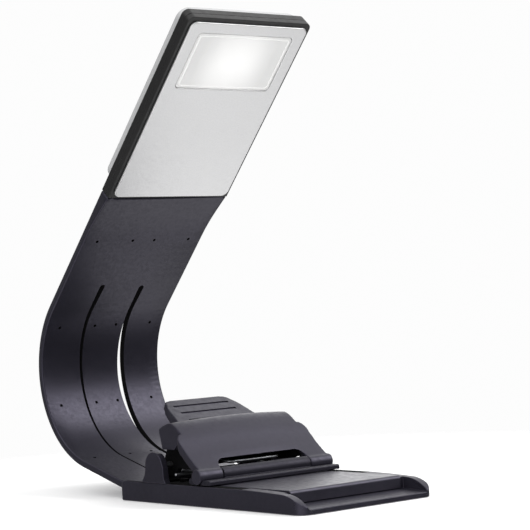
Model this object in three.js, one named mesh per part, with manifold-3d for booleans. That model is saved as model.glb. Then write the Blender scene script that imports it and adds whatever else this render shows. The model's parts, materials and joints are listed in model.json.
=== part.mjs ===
// Clip-on reading lamp: flat light head on a flexible ribbon arm with a spring clip base.
// Millimetres. X across the lamp, -Y the front (light and clip mouth), +Z up.
// Origin: centre of the base's underside.
import * as THREE from 'three'
import { mergeVertices } from 'three/addons/utils/BufferGeometryUtils.js'
import Module from 'manifold-3d'

const wasm = await Module()
wasm.setup()

// ---------- driving dimensions ----------
const GAP = 0.15                    // seam between pieces that touch in the real lamp
const DEG = Math.PI / 180

// base
const BASE_HALF_L = 57
const BASE_HALF_W = 33.5
const BASE_H = 7.9
const BASE_FLOOR = 1.7
const BASE_FRONT_R = 5
const BASE_REAR_R = 3
const WALL_NOSE = [                         // side wall's top edge, sweeping down to the front lip
  [-22, 7.9], [-34, 7.65], [-45, 7.2], [-47.75, 6.9], [-50.5, 6.2], [-53.2, 5], [-55.9, 3.6], [-57, 2.4],
]
const PAD = { halfW: 28, y0: -44.4, y1: 14.1, z0: 4.4, z1: 8, noseR: 3.5 }
const LIP = { halfW: 30, back: -44.5, z: 2 }
const EAR = { r: 5.6, inner: 30.5, outer: 33.4 }

// clip
const PIVOT = { y: 32.8, z: 14.5 }          // jaw axle
const AXLE_R = 1.2
const AXLE_REACH = 32.6                     // the axle ends inside the ears
const JAW_WALL = 2.2
const JAW_HALF_W = 33
const HUMP_HALF_W = 29.8
const SKIRT_T = 2
const FLANGE = { width: 2, depth: 3.2 }
const JAW_ARM = { inner: 22.5, outer: 24.5, hubR: 5 }
const CROSS_RIB = { y0: 26.2, y1: 28, z0: 13, z1: 29.3 }
const FOOT_AXIS = { y: 4.3, z: 11.4 }       // foot hinge in the jaw's nose
const KNUCKLE_R = 2.9
const KNUCKLE_INNER = 22.5
const KNUCKLE_OUTER = 34.2
const FOOT_PIN_R = 0.8
const FOOT_PIN_REACH = 33
const SLOT = { halfW: 22.35, back: 12, top: 16.4 }
const LEVER = { y: 31.1, z: 30.5, tilt: 27, top: 2.2, deep: 4.5, rim: 1.8 }
const LEVER_SIDE = [[22, 0.15], [20.3, 2], [19.3, 7], [18.3, 12], [17.2, 14.5]]
const LEVER_TIP = { half: 12.8, end: 18.25, r: 4 }
const LEVER_GROOVES = { at: [1.9, 7.7, 13.2], halfW: 14.2, width: 1.3, depth: 0.8 }
const WIRE_R = 0.7
const COIL = { x: -18.6, turns: 5, pitch: 1.55, r: 2.95 }
const CROSSBAR_X = 13
const ROOT_CLAMP = { halfW: 25, y0: 28, y1: 39.6, z0: 5.25, z1: 6.9 }
const SCREW = { columns: [-18, 18], y: 33, shaftR: 0.9, headR: 2, holeR: 1.1 }

// arm ribbon, laid along its centre line
const ARM_HALF_W = 31
const ARM_T = 3
const ROOT_HALF_W = 28.5
const ROOT_Y = 26
const ROOT_Z = 3.5
const ARM_PATH = [                          // length, and bend in degrees over that length
  { name: 'root', length: 18.4, bend: 0 },
  { name: 'sweep', length: 9.95, bend: 15 },
  { name: 'lower', length: 32.2, bend: 0 },
  { name: 'bow', length: 82.4, bend: 118 },
  { name: 'upper', length: 64.9, bend: 0 },
  { name: 'tongue', length: 6, bend: 0 },
]
const BOW_HINGES = 7
const TILT_HINGES = [26, 46]                // distances above the bow
const LINK_GAP = 0.8
const SLITS = [                             // the right slit is drawn open wider than the left
  { x: -10.85, width: 1.4 },
  { x: 10.85, width: 3 },
]
const SLIT_START = 41.5                     // distances along the ribbon
const SLIT_ABOVE_BOW = 12.7
const SLIT_BRIDGE = 1.2                     // keeps each link in one piece at its ends
const PIN_ROWS = [63, 97, 133, 181]         // ejector pin marks through the ribbon
const PIN_COLUMNS = [-24, -5.65, 5.65, 24]
const PIN_R = 0.7
const CORE = { halfW: 7.3, t: 0.9, clear: 0.3 }

// head, in its own frame: x across, s up the head, f out of the light face
const HEAD = { halfW: 31, s0: -1.2, s1: 88.6, footR: 1, topR: 3.2, frontT: 2.5, rearT: 3 }
const ARM_DEPTH = 4.1                       // ribbon centre behind the light face's seat
const PLATE = { halfW: 29.5, s0: 0, s1: 86.7, corner: 3.5, t: 0.9 }
const WINDOW = { halfW: 24, s0: 55.4, s1: 82, corner: 2 }
const FRAME_OPEN = { halfW: 27.5, s0: 3, s1: 83.2 }
const HOUSING = { halfW: 30, s0: 3.5, s1: 87.3, front: -5.7, rear: -9.4, wall: 1 }
const BUTTON = { s: 45, r: 5.4, flangeR: 6.5, hole: 5.7, ringR: 8.2, travelGap: 0.5 }
const COLLAR = { s: -18.3, rear: -3, edge: -2.45, front: -0.1 }
const MOUTH = { halfW: 29.3, s0: -4, s1: 6, f0: -5.8, f1: -2.4 }
const LED_COLUMNS = [-9, 0, 9]
const LED_ROWS = [62, 75]
const BATTERY = { halfW: 22, s0: 9, s1: 36.5, f0: -6.6, f1: -2.9 }
const BOARD = { x0: -18, x1: 23.5, s0: 38.5, s1: 52.5, f0: -4.6, f1: -3.6 }
const BOARD_SCREWS = [[-15, 41], [-15, 50]]
const SOCKET = { x0: 24, x1: 30.7, s0: 41.1, s1: 48.7, f0: -5.25, f1: -2.95, wall: 0.4 }

// ---------- helpers ----------
const material = (colour, roughness, metalness = 0) =>
  new THREE.MeshStandardMaterial({ color: colour, roughness, metalness })

const root = new THREE.Group()
root.name = 'clip_on_reading_lamp'

function toSolid(geometry) {
  const bare = geometry.clone()
  bare.deleteAttribute('normal')
  bare.deleteAttribute('uv')
  const merged = mergeVertices(bare, 1e-4)
  return new wasm.Manifold(new wasm.Mesh({
    numProp: 3,
    vertProperties: new Float32Array(merged.attributes.position.array),
    triVerts: new Uint32Array(merged.index.array),
  }))
}

function toGeometry(solid) {
  const mesh = solid.getMesh()
  const geometry = new THREE.BufferGeometry()
  geometry.setAttribute('position', new THREE.BufferAttribute(new Float32Array(mesh.vertProperties), 3))
  geometry.setIndex(new THREE.BufferAttribute(new Uint32Array(mesh.triVerts), 1))
  return geometry
}

function add(name, solid, colour, roughness, metalness) {
  const flat = toGeometry(solid).toNonIndexed()
  flat.computeVertexNormals()
  const mesh = new THREE.Mesh(flat, material(colour, roughness, metalness))
  mesh.name = name
  root.add(mesh)
}

function box(x0, x1, y0, y1, z0, z1) {
  const geometry = new THREE.BoxGeometry(x1 - x0, y1 - y0, z1 - z0)
  geometry.translate((x0 + x1) / 2, (y0 + y1) / 2, (z0 + z1) / 2)
  return toSolid(geometry)
}

function shapeOf(points) {
  return new THREE.Shape(points.map(([a, b]) => new THREE.Vector2(a, b)))
}

// a side profile of [y, z] points, spanning x0 to x1
function slabX(points, x0, x1) {
  const geometry = new THREE.ExtrudeGeometry(shapeOf(points), { depth: x1 - x0, bevelEnabled: false })
  const turn = new THREE.Matrix4().makeBasis(
    new THREE.Vector3(0, 1, 0), new THREE.Vector3(0, 0, 1), new THREE.Vector3(1, 0, 0))
  geometry.applyMatrix4(turn)
  geometry.translate(x0, 0, 0)
  return toSolid(geometry)
}

// a plan outline of [x, y] points, spanning z0 to z1
function slabZ(points, z0, z1) {
  const geometry = new THREE.ExtrudeGeometry(shapeOf(points), { depth: z1 - z0, bevelEnabled: false })
  geometry.translate(0, 0, z0)
  return toSolid(geometry)
}

function arc(cx, cy, r, from, to, steps) {
  const points = []
  for (let i = 0; i <= steps; i++) {
    const a = (from + (to - from) * i / steps) * DEG
    points.push([cx + r * Math.cos(a), cy + r * Math.sin(a)])
  }
  return points
}

// rounded rectangle, corner radii [low x low y, high x low y, high x high y, low x high y]
function roundRect(x0, x1, y0, y1, radii, steps = 5) {
  const [a, b, c, d] = Array.isArray(radii) ? radii : [radii, radii, radii, radii]
  return [
    ...arc(x0 + a, y0 + a, a, 180, 270, steps),
    ...arc(x1 - b, y0 + b, b, 270, 360, steps),
    ...arc(x1 - c, y1 - c, c, 0, 90, steps),
    ...arc(x0 + d, y1 - d, d, 90, 180, steps),
  ]
}

function rodX(r, x0, x1, y, z, sides = 24) {
  const geometry = new THREE.CylinderGeometry(r, r, x1 - x0, sides)
  geometry.rotateZ(Math.PI / 2)
  geometry.translate((x0 + x1) / 2, y, z)
  return toSolid(geometry)
}

function rodZ(r, z0, z1, x, y, sides = 24) {
  const geometry = new THREE.CylinderGeometry(r, r, z1 - z0, sides)
  geometry.rotateX(Math.PI / 2)
  geometry.translate(x, y, (z0 + z1) / 2)
  return toSolid(geometry)
}

class Polyline extends THREE.Curve {
  constructor(points) {
    super()
    this.points = points
  }
  getPoint(t, target = new THREE.Vector3()) {
    const span = this.points.length - 1
    const i = Math.min(Math.floor(t * span), span - 1)
    return target.copy(this.points[i]).lerp(this.points[i + 1], t * span - i)
  }
}

function wire(points, r, steps, sides = 6) {
  const section = shapeOf(arc(0, 0, r, 0, 360 - 360 / sides, sides - 1))
  const path = new Polyline(points)
  path.arcLengthDivisions = steps * 4
  return toSolid(new THREE.ExtrudeGeometry(section, { steps, bevelEnabled: false, extrudePath: path }))
}

// ---------- arm centre line ----------
function stationAt(distance) {
  let y = ROOT_Y
  let z = ROOT_Z
  let heading = 0
  let left = distance
  for (const part of ARM_PATH) {
    const run = Math.min(left, part.length)
    const turn = part.bend * DEG * run / part.length
    if (Math.abs(turn) > 1e-9) {
      const r = run / turn
      y += r * (Math.sin(heading + turn) - Math.sin(heading))
      z += r * (Math.cos(heading) - Math.cos(heading + turn))
      heading += turn
    } else {
      y += run * Math.cos(heading)
      z += run * Math.sin(heading)
    }
    left -= run
    if (left <= 1e-9) break
  }
  return { y, z, heading }
}

function distanceTo(name) {
  let total = 0
  for (const part of ARM_PATH) {
    if (part.name === name) return total
    total += part.length
  }
  return total
}

const bowStart = distanceTo('bow')
const bowEnd = distanceTo('upper')
const headStart = distanceTo('tongue')
const bowPitch = (bowEnd - bowStart) / BOW_HINGES

const hinges = []
for (let i = 0; i < BOW_HINGES; i++) hinges.push(bowStart + bowPitch * (i + 0.5))
for (const above of TILT_HINGES) hinges.push(bowEnd + above)

// the ribbon between two distances, half as thick as `half`, from x0 to x1
function ribbon(from, to, half, x0, x1) {
  const cuts = [from]
  for (let d = Math.ceil(from / 3) * 3; d < to - 0.4; d += 3) {
    const bent = (d > 18 && d < 29) || (d > bowStart - 1 && d < bowEnd + 1)
    if (bent && d > from + 0.4) cuts.push(d)
  }
  cuts.push(to)
  const side = offset => cuts.map(d => {
    const { y, z, heading } = stationAt(d)
    return [y - offset * Math.sin(heading), z + offset * Math.cos(heading)]
  })
  return slabX([...side(-half), ...side(half).reverse()], x0, x1)
}

function armSkin(from, to) {
  let skin = ribbon(from, to, ARM_T / 2, -ARM_HALF_W, ARM_HALF_W)
  const slitFrom = Math.max(from + SLIT_BRIDGE, SLIT_START)
  const slitTo = Math.min(to - SLIT_BRIDGE, bowEnd + SLIT_ABOVE_BOW)
  if (slitTo > slitFrom + 1) {
    for (const { x, width } of SLITS) {
      skin = skin.subtract(ribbon(slitFrom, slitTo, ARM_T, x - width / 2, x + width / 2))
    }
  }
  for (const row of PIN_ROWS.filter(d => d > from && d < to)) skin = skin.subtract(pinMarks(row))
  const hollowHalf = CORE.halfW + CORE.clear
  return skin.subtract(ribbon(from - 1, to + 1, CORE.t / 2 + CORE.clear, -hollowHalf, hollowHalf))
}

// one row of pin marks, square to the ribbon
function pinMarks(distance) {
  const { y, z, heading } = stationAt(distance)
  const place = new THREE.Matrix4().makeTranslation(0, y, z)
    .multiply(new THREE.Matrix4().makeRotationX(heading))
  const pins = PIN_COLUMNS.map(x => rodZ(PIN_R, -ARM_T, ARM_T, x, 0, 8))
  return wasm.Manifold.union(pins).transform(place.elements)
}

function armCore(from, to) {
  return ribbon(from, to, CORE.t / 2, -CORE.halfW, CORE.halfW)
}

const RUBBER = [0x3c3a44, 0.62, 0]
const STEEL = [0xb9bcc0, 0.35, 1]
const SHELL = [0x34323b, 0.5, 0]
const ALU = [0xc9cacc, 0.38, 1]
const WHITE = [0xf2f2f0, 0.5, 0]

function buildArm() {
  const ends = [2, ...hinges.flatMap(h => [h - LINK_GAP / 2, h + LINK_GAP / 2]), headStart + 5.6]
  for (let i = 0; i < ends.length / 2; i++) {
    const from = ends[2 * i]
    const to = ends[2 * i + 1]
    const last = i === ends.length / 2 - 1
    const name = i === 0 ? 'root' : last ? 'top' : `link_${i}`
    let skin = armSkin(from, to)
    if (i === 0) skin = skin.subtract(rootWaist()).subtract(clampHoles())
    if (last) skin = skin.subtract(tongueWaist()).add(collar())
    add(`arm_${name}`, skin, ...RUBBER)
    add(`arm_core_${name}`, armCore(from, to), ...STEEL)
  }
}

function rootWaist() {
  const left = box(-40, -ROOT_HALF_W, 20, 41.3, -2, 9)
  const right = box(ROOT_HALF_W, 40, 20, 41.3, -2, 9)
  return left.add(right)
}

function clampHoles() {
  const [left, right] = SCREW.columns.map(x => rodZ(SCREW.holeR, 0.6, 9, x, SCREW.y, 16))
  return left.add(right)
}

// ---------- head frame ----------
const headSeat = stationAt(headStart)
const headBasis = new THREE.Matrix4().makeBasis(
  new THREE.Vector3(1, 0, 0),
  new THREE.Vector3(0, Math.cos(headSeat.heading), Math.sin(headSeat.heading)),
  new THREE.Vector3(0, -Math.sin(headSeat.heading), Math.cos(headSeat.heading)))
const headOrigin = new THREE.Vector3(
  0,
  headSeat.y - ARM_DEPTH * Math.sin(headSeat.heading),
  headSeat.z + ARM_DEPTH * Math.cos(headSeat.heading))
const headPlace = new THREE.Matrix4().makeTranslation(headOrigin.x, headOrigin.y, headOrigin.z)
  .multiply(headBasis)

// moves a solid drawn in head coordinates to its place on the lamp
function onHead(solid) {
  return solid.transform(headPlace.elements)
}

function tongueWaist() {
  const from = HEAD.s0 - GAP
  const left = box(-40, -29, from, 12, -8, 2)
  const right = box(29, 40, from, 12, -8, 2)
  return onHead(left.add(right))
}

// the ribbon's front face swells towards the light plate, up to the frame's lower edge
function collar() {
  const top = HEAD.s0 - GAP
  const side = [[COLLAR.s, COLLAR.rear], [top, COLLAR.rear], [top, COLLAR.front], [COLLAR.s, COLLAR.edge]]
  return onHead(slabX(side, -ARM_HALF_W, ARM_HALF_W))
}

function plateOutline(part, inset = 0) {
  return roundRect(-part.halfW + inset, part.halfW - inset, part.s0 + inset, part.s1 - inset,
    Math.max(part.corner - inset, 0.5))
}

function buildLightFace() {
  const plate = slabZ(plateOutline(PLATE), 0.1, 0.1 + PLATE.t)
    .subtract(slabZ(plateOutline(WINDOW), -1, 2))
  add('head_plate', onHead(plate), ...ALU)
  const lens = slabZ(plateOutline(WINDOW, 0.2), -0.6, 0.85)
  add('window_lens', onHead(lens), 0xf7f7f2, 0.3, 0)
  const tray = box(-25.5, 25.5, 54.2, 82.9, -3.6, -0.75)
    .subtract(box(-24.7, 24.7, 55, 82.1, -2.9, 1))
  add('reflector_tray', onHead(tray), ...WHITE)
  add('led_board', onHead(box(-24.3, 24.3, 55.4, 81.7, -2.8, -2.2)), ...WHITE)
  let number = 1
  for (const s of LED_ROWS) {
    for (const x of LED_COLUMNS) {
      const led = box(x - 1.75, x + 1.75, s - 1.4, s + 1.4, -2.15, -1.35)
      add(`led_${number}`, onHead(led), 0xfff2c0, 0.4, 0)
      number += 1
    }
  }
}

function mouth() {
  return box(-MOUTH.halfW, MOUTH.halfW, MOUTH.s0, MOUTH.s1, MOUTH.f0, MOUTH.f1)
}

function frameRing(front, rear) {
  const { halfW, s0, s1, footR, topR } = HEAD
  const outer = slabZ(roundRect(-halfW, halfW, s0, s1, [footR, footR, topR, topR]), rear, front)
  const open = roundRect(-FRAME_OPEN.halfW, FRAME_OPEN.halfW, FRAME_OPEN.s0, FRAME_OPEN.s1, 1.5)
  return outer.subtract(slabZ(open, rear - 1, front + 1)).subtract(mouth())
}

function buildHeadFrame() {
  add('head_frame_front', onHead(frameRing(0, -HEAD.frontT)), ...SHELL)
  const seam = -HEAD.frontT - 0.1
  const port = box(22, 40, SOCKET.s0 - 0.2, SOCKET.s1 + 0.2, SOCKET.f0 - GAP, SOCKET.f1 + GAP)
  add('head_frame_rear', onHead(frameRing(seam, seam - HEAD.rearT).subtract(port)), ...SHELL)
}

function buildHousing() {
  const outline = shapeOf(roundRect(-HOUSING.halfW + 1, HOUSING.halfW - 1, HOUSING.s0 + 1, HOUSING.s1 - 1, 4))
  const geometry = new THREE.ExtrudeGeometry(outline, {
    depth: 6, bevelEnabled: true, bevelThickness: 1, bevelSize: 1, bevelSegments: 3,
  })
  geometry.translate(0, 0, HOUSING.rear + 1)
  const outer = toSolid(geometry).subtract(box(-40, 40, -10, 99, HOUSING.front, 9))
  const w = HOUSING.wall + 0.2
  const inner = roundRect(-HOUSING.halfW + w, HOUSING.halfW - w, HOUSING.s0 + w, HOUSING.s1 - w, 3)
  const hollow = slabZ(inner, HOUSING.rear + HOUSING.wall, 9)
  const hole = rodZ(BUTTON.hole, -12, -5, 0, BUTTON.s, 32)
  add('rear_housing', onHead(outer.subtract(hollow).subtract(hole)), ...ALU)
}

function buildButton() {
  const cap = rodZ(BUTTON.r, -10, -8.15, 0, BUTTON.s, 32)
    .add(rodZ(BUTTON.flangeR, -8.2, -7.6, 0, BUTTON.s, 32))
    .add(rodZ(1.5, -7.65, -6.6 - BUTTON.travelGap, 0, BUTTON.s, 16))
  add('button_cap', onHead(cap), 0xd8d9db, 0.35, 1)
  const ring = rodZ(BUTTON.ringR, -9.85, HOUSING.rear - 0.05, 0, BUTTON.s, 32)
    .subtract(rodZ(BUTTON.hole, -12, -5, 0, BUTTON.s, 32))
  add('button_ring', onHead(ring), 0xe6e7e8, 0.2, 1)
  add('tact_switch', onHead(box(-3, 3, BUTTON.s - 3, BUTTON.s + 3, -6.6, -4.7)), 0x202024, 0.5, 0)
}

function buildElectronics() {
  const { halfW, s0, s1, f0, f1 } = BATTERY
  add('battery', onHead(box(-halfW, halfW, s0, s1, f0, f1)), 0xb8bcc4, 0.4, 0.6)
  let board = box(BOARD.x0, BOARD.x1, BOARD.s0, BOARD.s1, BOARD.f0, BOARD.f1)
  BOARD_SCREWS.forEach(([x, s], i) => {
    board = board.subtract(rodZ(SCREW.holeR, -6, -2, x, s, 16))
    const screw = rodZ(SCREW.shaftR, -4.7, -2.9, x, s, 16).add(rodZ(SCREW.shaftR * 2, -5.6, -4.65, x, s, 16))
    add(`board_screw_${i + 1}`, onHead(screw), ...STEEL)
  })
  add('control_board', onHead(board), 0x1f6b3a, 0.5, 0)
  const socket = box(SOCKET.x0, SOCKET.x1, SOCKET.s0, SOCKET.s1, SOCKET.f0, SOCKET.f1)
    .subtract(box(SOCKET.x0 + 2, SOCKET.x1 + 1, SOCKET.s0 + 0.6, SOCKET.s1 - 0.6,
      SOCKET.f0 + SOCKET.wall, SOCKET.f1 - SOCKET.wall))
  add('usb_socket', onHead(socket), ...STEEL)
}

// ---------- base ----------
function sideProfile() {
  return [
    [-BASE_HALF_L, 0],
    [BASE_HALF_L, 0],
    [BASE_HALF_L, 3.6],
    ...arc(BASE_HALF_L - 4.3, BASE_H - 4.3, 4.3, 0, 90, 5),
    ...WALL_NOSE,
  ]
}

// an ear with flared feet, round the jaw axle
function earSolid(sign) {
  const { y, z } = PIVOT
  const profile = [
    [y - EAR.r - 3.2, BASE_H - 0.6],
    [y + EAR.r + 4.2, BASE_H - 0.6],
    [y + EAR.r + 2.3, BASE_H + 1.1],
    [y + EAR.r + 0.8, z - 3.5],
    [y + EAR.r + 0.1, z - 2],
    ...arc(y, z, EAR.r, 0, 180, 12),
    [y - EAR.r - 0.1, z - 2],
    [y - EAR.r - 0.6, z - 4],
    [y - EAR.r - 1.6, z - 5.9],
  ]
  const x = [EAR.inner * sign, EAR.outer * sign].sort((a, b) => a - b)
  return slabX(profile, x[0], x[1])
}

function buildBase() {
  const plan = roundRect(-BASE_HALF_W, BASE_HALF_W, -BASE_HALF_L, BASE_HALF_L,
    [BASE_FRONT_R, BASE_FRONT_R, BASE_REAR_R, BASE_REAR_R])
  let tray = slabZ(plan, -1, 12).intersect(slabX(sideProfile(), -40, 40))
  tray = tray.subtract(box(-28.3, 28.3, LIP.back - 0.1, 14.4, PAD.z0 - 0.2, 20))
  tray = tray.subtract(box(-LIP.halfW, LIP.halfW, -60, LIP.back, LIP.z, 20))
  tray = tray.subtract(box(-28.9, 28.9, 23.5, 41.5, BASE_FLOOR, 20))
  tray = tray.subtract(box(-31.35, 31.35, 41, 60, BASE_FLOOR, 20))
  tray = tray.add(earSolid(1)).add(earSolid(-1))
  const bore = AXLE_REACH + 0.1
  tray = tray.subtract(rodX(AXLE_R + 0.1, -bore, bore, PIVOT.y, PIVOT.z))
  tray = tray.subtract(clampHoles())
  add('base_tray', tray, ...SHELL)
  const padSide = [
    [PAD.y1, PAD.z0], [PAD.y1, PAD.z1],
    ...arc(PAD.y0 + PAD.noseR, PAD.z1 - PAD.noseR, PAD.noseR, 90, 180, 6), [PAD.y0, PAD.z0],
  ].reverse()
  add('base_pad', slabX(padSide, -PAD.halfW, PAD.halfW), ...RUBBER)
}

function buildRootClamp() {
  const { halfW, y0, y1, z0, z1 } = ROOT_CLAMP
  add('root_clamp', box(-halfW, halfW, y0, y1, z0, z1).subtract(clampHoles()), ...STEEL)
  SCREW.columns.forEach((x, i) => {
    const shaft = rodZ(SCREW.shaftR, 0.8, z1 + 0.1, x, SCREW.y, 16)
    const screw = shaft.add(rodZ(SCREW.headR, z1 + 0.05, z1 + 1.2, x, SCREW.y, 16))
    add(`root_screw_${i + 1}`, screw, ...STEEL)
  })
}

function buildAxle() {
  add('clip_axle', rodX(AXLE_R, -AXLE_REACH, AXLE_REACH, PIVOT.y, PIVOT.z), ...STEEL)
}

// ---------- spring ----------
function coilPoints() {
  const points = []
  for (let i = 0; i <= COIL.turns * 12; i++) {
    const a = (-90 - 30 * i) * DEG
    points.push(new THREE.Vector3(
      COIL.x + COIL.pitch * i / 12, PIVOT.y + COIL.r * Math.cos(a), PIVOT.z + COIL.r * Math.sin(a)))
  }
  return points
}

function buildSprings() {
  const leg = [[-29, 24, 11], [-21, 24, 11], [-18.9, 25.6, 11.1]].map(p => new THREE.Vector3(...p))
  const left = wire([...leg, ...coilPoints()], WIRE_R, 90)
  add('spring_left', left, ...STEEL)
  add('spring_right', left.mirror([1, 0, 0]), ...STEEL)
  const half = [
    [CROSSBAR_X, 28.5, 19.6], [CROSSBAR_X, 19, 17.4], [CROSSBAR_X, 12.5, 15.6],
    [CROSSBAR_X - 0.6, 10.9, 15.15], [CROSSBAR_X - 2, 10.4, 15.1],
  ]
  const bar = [...half.map(([x, y, z]) => [-x, y, z]), ...half.reverse()].map(p => new THREE.Vector3(...p))
  add('spring_crossbar', wire(bar, WIRE_R, bar.length - 1, 8), ...STEEL)
}

// ---------- jaw ----------
const JAW_LINE = [
  [2.4, 13.4], [4.5, 14.8], [7, 16.7], [10, 19.2], [13, 22], [16, 25], [18.5, 27.2],
  [22, 29.8], [25.3, 31.1], [28.5, 30.6], [30.8, 29.8],
]
const PANEL_END = 6                         // the jaw is widest up to this point of its line

// the jaw line as a strip `depth` thick, between two of its points
function jawStrip(first, last, depth, x0, x1) {
  const points = JAW_LINE.slice(first, last + 1)
  const under = points.map(([y, z], i) => {
    const before = points[Math.max(i - 1, 0)]
    const after = points[Math.min(i + 1, points.length - 1)]
    const dy = after[0] - before[0]
    const dz = after[1] - before[1]
    const n = Math.hypot(dy, dz)
    return [y + depth * dz / n, z - depth * dy / n]
  })
  return slabX([...under, ...points.reverse()], x0, x1)
}

// a side profile spanning the same two distances out on either side of the middle
function bothSides(points, inner, outer) {
  return slabX(points, inner, outer).add(slabX(points, -outer, -inner))
}

// the hump's side walls, down to the ears' shoulders
function jawSkirts() {
  const profile = [
    [31.1, 20.9], [30.2, 26], [28.7, 29.6], [25.3, 30.9], [22, 29.6], [18.5, 27], [17.6, 25.6], [20, 24],
    [23.5, 20.9],
  ]
  return bothSides(profile, HUMP_HALF_W - SKIRT_T, HUMP_HALF_W)
}

// the pivot arms run forward as ribs under the panel, clear of the foot's swing
function jawArms() {
  const profile = [
    ...arc(PIVOT.y, PIVOT.z, JAW_ARM.hubR, 200, 375, 10),
    [34.5, 22], [30, 29.3], [25.3, 30.6], [22, 29.3], [16, 24.2], [10, 18.4], [7, 16],
    [7.3, 13.2], [9.65, 14.1], [12, 13.6], [14, 12.8],
  ]
  return bothSides(profile, JAW_ARM.inner, JAW_ARM.outer)
}

function crossRib() {
  const { y0, y1, z0, z1 } = CROSS_RIB
  const rib = box(-JAW_ARM.inner - 0.1, JAW_ARM.inner + 0.1, y0, y1, z0, z1)
  const notch = box(CROSSBAR_X - 1, CROSSBAR_X + 1, y0 - 1, y1 + 1, 17.6, 21.2)
  return rib.subtract(notch).subtract(notch.mirror([1, 0, 0]))
}

function buildJaw() {
  const web = [[2.7, 12.6], [6.8, 12.2], [8.8, 15.4], [8, 17.2], [4.5, 14.6], [2.7, 13.4]]
  const jaw = jawStrip(0, PANEL_END, JAW_WALL, -JAW_HALF_W, JAW_HALF_W)
    .add(jawStrip(PANEL_END - 1, JAW_LINE.length - 1, JAW_WALL, -HUMP_HALF_W, HUMP_HALF_W))
    .add(jawStrip(0, PANEL_END, FLANGE.depth, -JAW_HALF_W, FLANGE.width - JAW_HALF_W))
    .add(jawStrip(0, PANEL_END, FLANGE.depth, JAW_HALF_W - FLANGE.width, JAW_HALF_W))
    .add(jawSkirts())
    .add(jawArms())
    .add(crossRib())
    .add(bothSides(web, KNUCKLE_INNER, JAW_HALF_W))
    .subtract(box(-SLOT.halfW, SLOT.halfW, -4, SLOT.back, 5, SLOT.top))
    .add(rodX(KNUCKLE_R, KNUCKLE_INNER, KNUCKLE_OUTER, FOOT_AXIS.y, FOOT_AXIS.z))
    .add(rodX(KNUCKLE_R, -KNUCKLE_OUTER, -KNUCKLE_INNER, FOOT_AXIS.y, FOOT_AXIS.z))
    .subtract(rodX(AXLE_R + 0.1, -40, 40, PIVOT.y, PIVOT.z))
    .subtract(footPin(0.06, 0.1))
  add('jaw_shell', jaw, ...SHELL)
  add('foot_pin', footPin(0, 0), ...STEEL)
}

function footPin(wider, longer) {
  const reach = FOOT_PIN_REACH + longer
  return rodX(FOOT_PIN_R + wider, -reach, reach, FOOT_AXIS.y, FOOT_AXIS.z)
}

function leverOutline(inset) {
  const { half, end, r } = LEVER_TIP
  const side = LEVER_SIDE.map(([x, t]) => [x - inset, Math.max(t, 0.15 + inset)])
  const right = [...side, ...arc(half - inset, end - r - inset, r, 15, 90, 4)]
  return [...right, ...right.map(([x, t]) => [-x, t]).reverse()]
}

function buildLever() {
  let tab = slabZ(leverOutline(0), -LEVER.deep, 0)
    .subtract(slabZ(leverOutline(LEVER.rim), -9, -LEVER.top))
  const { at, halfW, width, depth } = LEVER_GROOVES
  for (const t of at) tab = tab.subtract(box(-halfW, halfW, t - width / 2, t + width / 2, -depth, 1))
  const place = new THREE.Matrix4().makeTranslation(0, LEVER.y, LEVER.z)
    .multiply(new THREE.Matrix4().makeRotationX(LEVER.tilt * DEG))
  add('thumb_lever', tab.transform(place.elements), ...SHELL)
}

function buildFoot() {
  const profile = [
    [-3.2, 8.4], [9.3, 8.4], [10, 9], [10, 10], [9.4, 10.7], [8.2, 10.75], [7.5, 10.3],
    [1.6, 10.3], [-1.2, 10], [-3.2, 9.3],
  ]
  const relief = rodX(KNUCKLE_R + 0.3, 22.1, 36, FOOT_AXIS.y, FOOT_AXIS.z)
  const foot = slabX(profile, -33.4, 33.4)
    .add(rodX(KNUCKLE_R, -22.1, 22.1, FOOT_AXIS.y, FOOT_AXIS.z))
    .subtract(relief)
    .subtract(relief.mirror([1, 0, 0]))
    .subtract(footPin(0.06, 9))
    .subtract(box(-20.8, 20.8, -2, 9, 7, 8.95))
  add('foot_bar', foot, ...SHELL)
  add('foot_grip', box(-20.6, 20.6, -1.8, 8.8, 8.12, 8.85), ...RUBBER)
}

buildBase()
buildRootClamp()
buildAxle()
buildSprings()
buildJaw()
buildLever()
buildFoot()
buildArm()
buildLightFace()
buildHeadFrame()
buildHousing()
buildButton()
buildElectronics()

export default root
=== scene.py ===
"""Looks for the clip-on reading lamp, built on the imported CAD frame.

Blender works in metres; shapes here are drawn in millimetres in the same frame as the CAD
(-Y is the front, +Z up) and scaled once, when a mesh is made.
"""

import json
import math

import bmesh
import bpy
from mathutils import Matrix, Vector


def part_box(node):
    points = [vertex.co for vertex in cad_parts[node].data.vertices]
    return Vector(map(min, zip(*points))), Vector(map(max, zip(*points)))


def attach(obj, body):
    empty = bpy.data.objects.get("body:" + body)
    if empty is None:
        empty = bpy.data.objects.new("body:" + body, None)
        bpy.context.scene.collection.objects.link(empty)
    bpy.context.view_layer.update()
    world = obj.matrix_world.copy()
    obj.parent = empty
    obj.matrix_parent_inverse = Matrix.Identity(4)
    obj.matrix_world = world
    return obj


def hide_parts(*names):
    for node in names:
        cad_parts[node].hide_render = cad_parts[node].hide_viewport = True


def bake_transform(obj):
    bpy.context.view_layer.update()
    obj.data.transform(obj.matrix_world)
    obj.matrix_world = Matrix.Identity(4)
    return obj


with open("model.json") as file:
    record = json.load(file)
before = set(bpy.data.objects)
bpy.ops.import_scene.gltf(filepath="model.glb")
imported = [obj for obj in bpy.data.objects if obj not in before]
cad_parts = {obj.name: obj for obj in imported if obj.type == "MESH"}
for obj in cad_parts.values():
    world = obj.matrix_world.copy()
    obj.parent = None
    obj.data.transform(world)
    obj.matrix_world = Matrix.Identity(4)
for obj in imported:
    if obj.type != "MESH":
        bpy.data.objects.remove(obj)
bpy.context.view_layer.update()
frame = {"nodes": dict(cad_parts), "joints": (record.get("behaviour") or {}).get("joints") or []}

MM = 0.001
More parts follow.
